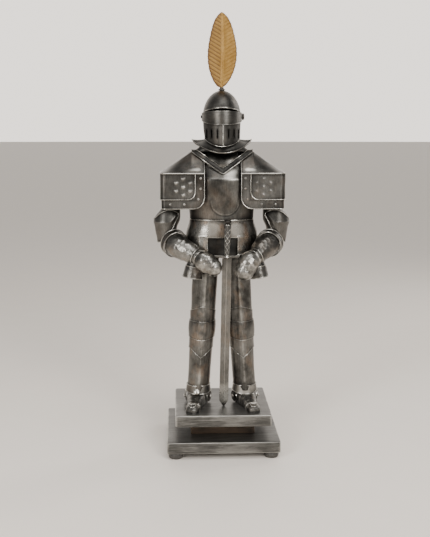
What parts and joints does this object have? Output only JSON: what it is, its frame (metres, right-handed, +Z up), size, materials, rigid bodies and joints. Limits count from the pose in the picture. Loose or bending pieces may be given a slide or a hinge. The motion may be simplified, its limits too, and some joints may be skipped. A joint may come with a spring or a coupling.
{
  "type": "armoured knight statuette",
  "caption": "Sheet-metal knight statuette in closed helmet with plume, both fists resting on a long sword, on a stepped square plinth.",
  "frame": {"origin": "middle of the square plinth at the level of the bun feet's undersides", "axes": "+Z up along the figure, -Y the way the knight faces, +X towards the knight's own left hand"},
  "size_m": [0.186, 0.152, 0.5887],
  "materials": {
    "leafed_board": "wood boards covered with rubbed silver leaf, brushed and worn",
    "dark_foot": "turned wood, dark stain",
    "screw_steel": "zinc plated",
    "gilt_plume": "embossed sheet, antique gilt with brown edges",
    "dark_steel": "blackened",
    "bronzed_steel": "heat-tinted sheet, polished in patches",
    "bright_steel": "planished and polished sheet",
    "blade_steel": "ground and brushed",
    "grip_wood": "dark core wrapped with silver wire",
    "dark_band": "darkened sheet with bright edges",
    "aged_steel": "aged dark sheet with rubbed bright edges"
  },
  "bodies": {
    "figure": {"base_feet": "dark_foot", "lower_plinth": "leafed_board", "plinth_spacer": "leafed_board", "upper_plinth": "leafed_board", "plinth_screws": "screw_steel", "boot_bolts": "screw_steel", "right_leg_tube": "aged_steel", "left_leg_tube": "aged_steel", "right_knee_upper_lame": "aged_steel", "left_knee_upper_lame": "aged_steel", "right_knee_plate": "aged_steel", "left_knee_plate": "aged_steel", "right_knee_lower_lame": "aged_steel", "left_knee_lower_lame": "aged_steel", "right_boot": "aged_steel", "left_boot": "aged_steel", "right_toe_cap": "bright_steel", "left_toe_cap": "bright_steel", "right_ankle_cuff": "bright_steel", "left_ankle_cuff": "bright_steel", "right_ankle_rondels": "aged_steel", "left_ankle_rondels": "aged_steel", "fauld_front": "bronzed_steel", "fauld_back": "bronzed_steel", "loin_panel": "dark_steel", "breastplate": "aged_steel", "backplate": "aged_steel", "gorget": "aged_steel", "v_collar": "dark_band", "torso_frame": "dark_steel", "right_pauldron_under": "aged_steel", "left_pauldron_under": "aged_steel", "right_pauldron_over": "aged_steel", "left_pauldron_over": "aged_steel", "right_pauldron_rivets": "bright_steel", "left_pauldron_rivets": "bright_steel", "right_upper_arm": "aged_steel", "left_upper_arm": "aged_steel", "right_elbow_cop": "aged_steel", "left_elbow_cop": "aged_steel", "right_elbow_cuff": "bright_steel", "left_elbow_cuff": "bright_steel", "right_forearm": "bright_steel", "left_forearm": "bright_steel", "right_gauntlet_cuff": "bright_steel", "left_gauntlet_cuff": "bright_steel", "right_gauntlet_hand": "bright_steel", "left_gauntlet_hand": "bright_steel", "neck_post": "dark_steel"},
    "helmet": {"helmet_skull": "aged_steel", "helmet_neck_flare": "aged_steel", "visor_pivots": "bright_steel", "plume_socket": "bright_steel"},
    "visor": {"visor_band": "dark_band", "visor_face_plate": "aged_steel"},
    "plume": {"plume": "gilt_plume"},
    "sword": {"sword_blade": "blade_steel", "sword_guard": "bright_steel", "sword_grip": "grip_wood", "sword_pommel": "bright_steel"}
  },
  "joints": [
    {"name": "head_turn", "type": "hinge", "parent": "figure", "child": "helmet", "pos_m": [0, 0, 0.4207], "axis": [0, 0, 1], "range_deg": [-30, 30]},
    {"name": "visor_lift", "type": "hinge", "parent": "helmet", "child": "visor", "pos_m": [0, 0, 0.4529], "axis": [-1, 0, 0], "range_deg": [0, 60]},
    {"name": "plume_pull", "type": "slide", "parent": "helmet", "child": "plume", "axis": [0, 0, 1], "range_m": [0, 0.012]},
    {"name": "sword_lift", "type": "slide", "parent": "figure", "child": "sword", "axis": [0.0121, -0.1374, 0.9904], "range_m": [0, 0.03]}
  ]
}
